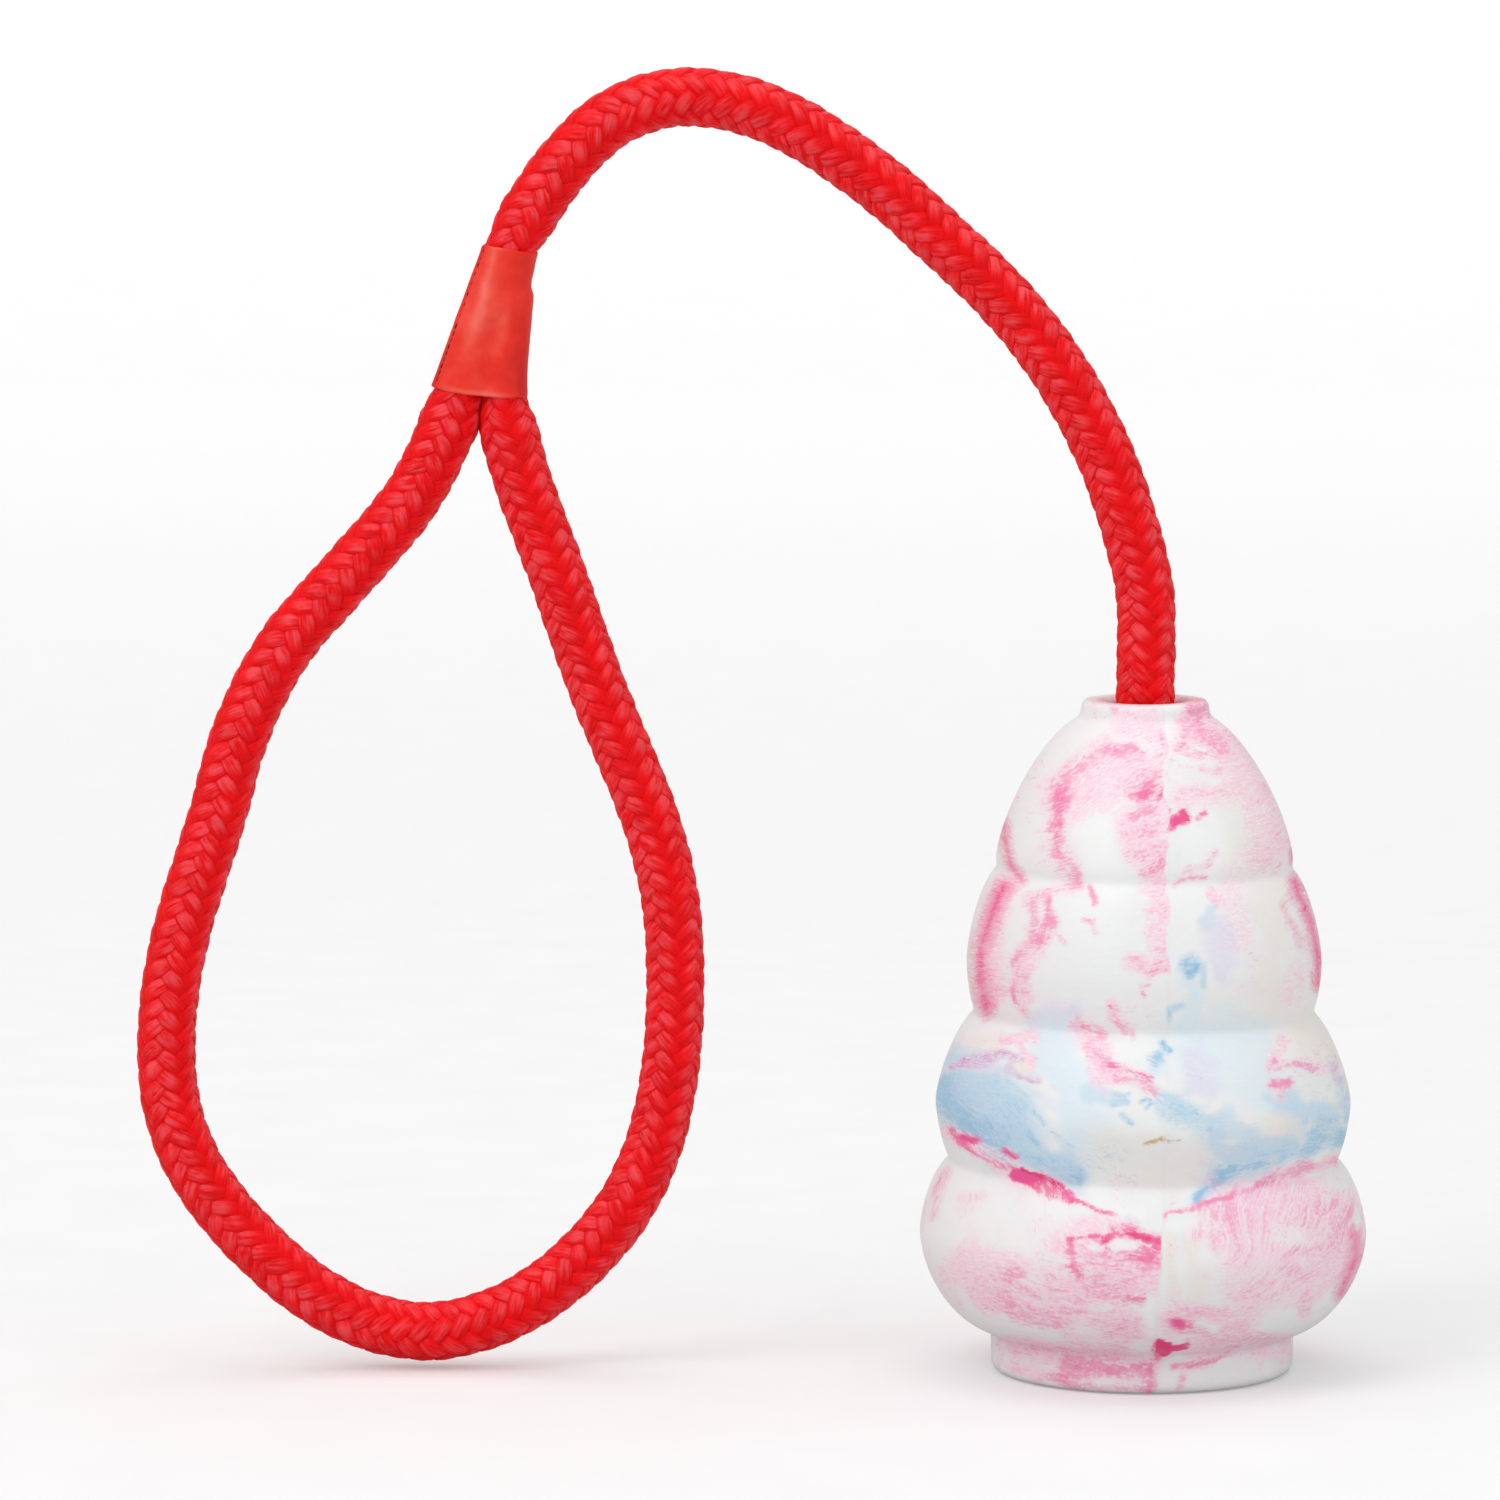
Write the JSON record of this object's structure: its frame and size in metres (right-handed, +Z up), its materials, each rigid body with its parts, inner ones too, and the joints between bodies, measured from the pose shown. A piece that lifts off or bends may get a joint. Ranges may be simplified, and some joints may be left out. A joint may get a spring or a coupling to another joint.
{
  "type": "training bumper",
  "caption": "Hollow natural-rubber training bumper of stacked bulbs, marbled, carried on an arched braided rope with a sleeved hand loop",
  "frame": {"origin": "On the floor plane, under the middle of the bounding box of the whole object at rest; the rubber body's axis is the vertical line x = 0.052, y = 0.", "axes": "+Z up, foot ring on Z = 0; +X from the hand loop towards the rubber body; the rope lies in the XZ plane and +Y points away from the viewer."},
  "size_m": [0.1632, 0.0594, 0.1726],
  "materials": {
    "marbled_rubber": "matt moulded rubber, marbled white, pink and blue",
    "rope_cover": "braided multifilament, satin",
    "rope_core_fibre": "loose parallel filler yarn",
    "sleeve_vinyl": "smooth shrunk vinyl, satin",
    "seam_thread": "thin dark sewing thread",
    "washer_plastic": "plain moulded nylon"
  },
  "bodies": {
    "rubber_body": {"rubber_body": "marbled_rubber"},
    "stop_washer": {"stop_washer": "washer_plastic"},
    "rope_stem": {"rope_stem": "rope_cover", "rope_stem_core": "rope_core_fibre", "stopper_knot": "rope_cover", "rope_tail": "rope_cover"},
    "rope_arch_1": {"rope_arch_1": "rope_cover", "rope_arch_1_core": "rope_core_fibre"},
    "rope_arch_2": {"rope_arch_2": "rope_cover", "rope_arch_2_core": "rope_core_fibre"},
    "rope_arch_3": {"rope_arch_3": "rope_cover", "rope_arch_3_core": "rope_core_fibre"},
    "rope_arch_4": {"rope_arch_4": "rope_cover", "rope_arch_4_core": "rope_core_fibre"},
    "rope_arch_5": {"rope_arch_5": "rope_cover", "rope_arch_5_core": "rope_core_fibre"},
    "rope_arch_6": {"rope_arch_6": "rope_cover", "rope_arch_6_core": "rope_core_fibre"},
    "grip_sleeve": {"grip_sleeve": "sleeve_vinyl", "sleeve_seam_thread": "seam_thread", "rope_into_sleeve": "rope_cover", "rope_into_sleeve_core": "rope_core_fibre", "rope_end_in_sleeve": "rope_cover"},
    "loop_yoke": {"loop_right_stub": "rope_cover", "loop_right_stub_core": "rope_core_fibre", "loop_left_stub": "rope_cover"},
    "loop_right_upper": {"loop_right_upper": "rope_cover", "loop_right_upper_core": "rope_core_fibre"},
    "loop_right_lower": {"loop_right_lower": "rope_cover", "loop_right_lower_core": "rope_core_fibre"},
    "loop_left_lower": {"loop_left_lower": "rope_cover", "loop_left_lower_core": "rope_core_fibre"},
    "loop_left_upper": {"loop_left_upper": "rope_cover", "loop_left_upper_core": "rope_core_fibre"}
  },
  "joints": [
    {"name": "rope_slide", "type": "slide", "parent": "rubber_body", "child": "stop_washer", "axis": [0, 0, 1], "range_m": [-0.01, 0]},
    {"name": "rope_twist", "type": "hinge", "parent": "stop_washer", "child": "rope_stem", "pos_m": [0.052, 0, 0.032], "axis": [0, 0, 1], "continuous": true},
    {"name": "rope_bend_1", "type": "hinge", "parent": "rope_stem", "child": "rope_arch_1", "pos_m": [0.0519, 0, 0.10368], "axis": [0.0005, 1, 0.0003], "range_deg": [-20, 35]},
    {"name": "rope_bend_2", "type": "hinge", "parent": "rope_arch_1", "child": "rope_arch_2", "pos_m": [0.04731, 0, 0.12002], "axis": [0.9296, 0, 0.3686], "range_deg": [-35, 35]},
    {"name": "rope_bend_3", "type": "hinge", "parent": "rope_arch_2", "child": "rope_arch_3", "pos_m": [0.03922, 0, 0.13493], "axis": [0.0005, 1, 0.0003], "range_deg": [-15, 35]},
    {"name": "rope_bend_4", "type": "hinge", "parent": "rope_arch_3", "child": "rope_arch_4", "pos_m": [0.02795, 0, 0.14762], "axis": [0.6757, 0, 0.7372], "range_deg": [-35, 35]},
    {"name": "rope_bend_5", "type": "hinge", "parent": "rope_arch_4", "child": "rope_arch_5", "pos_m": [0.01521, 0, 0.15885], "axis": [0.0005, 1, 0.0003], "range_deg": [-10, 35]},
    {"name": "rope_bend_6", "type": "hinge", "parent": "rope_arch_5", "child": "rope_arch_6", "pos_m": [0.0006, 0, 0.16741], "axis": [0.334, 0, 0.9426], "range_deg": [-35, 35]},
    {"name": "rope_bend_7", "type": "hinge", "parent": "rope_arch_6", "child": "grip_sleeve", "pos_m": [-0.01599, 0, 0.16737], "axis": [0.0005, 1, 0.0003], "range_deg": [-10, 35]},
    {"name": "loop_swing", "type": "hinge", "parent": "grip_sleeve", "child": "loop_yoke", "pos_m": [-0.0359, 0, 0.12937], "axis": [0.9938, 0, -0.1114], "range_deg": [-35, 35]},
    {"name": "loop_squeeze", "type": "hinge", "parent": "loop_yoke", "child": "loop_right_upper", "pos_m": [-0.03034, 0, 0.11882], "axis": [0.0005, 1, 0.0003], "range_deg": [-9, 9]},
    {"name": "loop_right_bend", "type": "hinge", "parent": "loop_right_upper", "child": "loop_right_lower", "pos_m": [-0.0102, 0, 0.0529], "axis": [0.0005, 1, 0.0003], "range_deg": [-14, 14]},
    {"name": "loop_bottom_bend", "type": "hinge", "parent": "loop_right_lower", "child": "loop_left_lower", "pos_m": [-0.0431, 0, 0.0048], "axis": [0.0005, 1, 0.0003], "range_deg": [-14.5, 14.5]},
    {"name": "loop_left_bend", "type": "hinge", "parent": "loop_left_lower", "child": "loop_left_upper", "pos_m": [-0.0778, 0, 0.0435], "axis": [0.0005, 1, 0.0003], "range_deg": [-10, 10]}
  ],
  "couplings": [
    {"joint": "loop_right_bend", "follows": "loop_squeeze", "ratio": -1.5},
    {"joint": "loop_bottom_bend", "follows": "loop_squeeze", "ratio": 1.566},
    {"joint": "loop_left_bend", "follows": "loop_squeeze", "ratio": -1.058}
  ]
}
